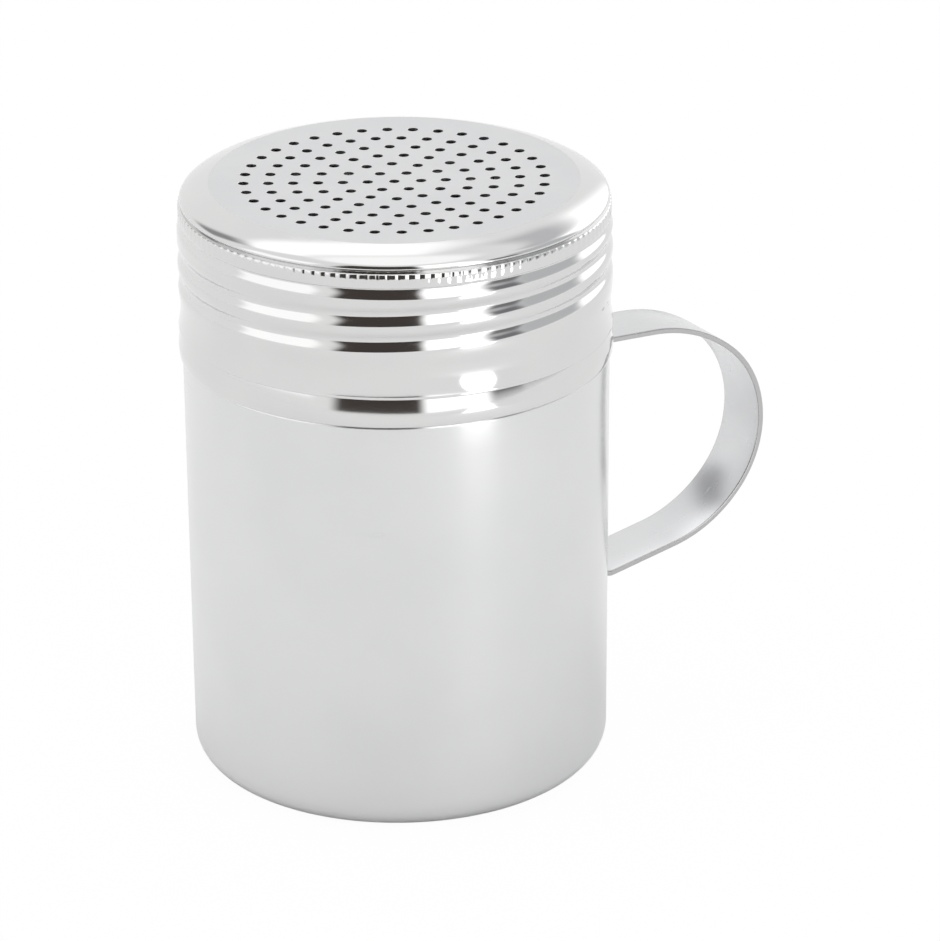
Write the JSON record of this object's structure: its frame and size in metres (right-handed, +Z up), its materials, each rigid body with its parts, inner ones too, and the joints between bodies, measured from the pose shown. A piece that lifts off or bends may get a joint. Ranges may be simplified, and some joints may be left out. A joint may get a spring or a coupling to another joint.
{
  "type": "spice shaker dispenser",
  "caption": "Stainless restaurant shaker: drawn can with a strap handle and a perforated screw-on lid for spice, sugar or flour.",
  "frame": {"origin": "centre of the can's base, on the surface it stands on", "axes": "+Z up along the can's axis, +X towards the handle"},
  "size_m": [0.0996, 0.0672, 0.0953],
  "materials": {
    "can_steel": "satin stainless steel",
    "lid_steel": "polished stainless steel, satin on the perforated disc",
    "strap_steel": "satin stainless steel"
  },
  "bodies": {
    "can": {"can": "can_steel", "handle": "strap_steel", "spot_welds": "strap_steel"},
    "hem": {"lid_hem": "lid_steel"},
    "lid": {"lid": "lid_steel"}
  },
  "joints": [
    {"name": "lid_rise", "type": "slide", "parent": "can", "child": "hem", "axis": [0, 0, 1], "range_m": [0, 0.00609]},
    {"name": "lid_turn", "type": "hinge", "parent": "hem", "child": "lid", "pos_m": [0, 0, 0.08], "axis": [0, 0, 1], "range_deg": [0, 540]}
  ],
  "couplings": [
    {"joint": "lid_rise", "follows": "lid_turn", "m_per_rad": 0.00064458}
  ]
}
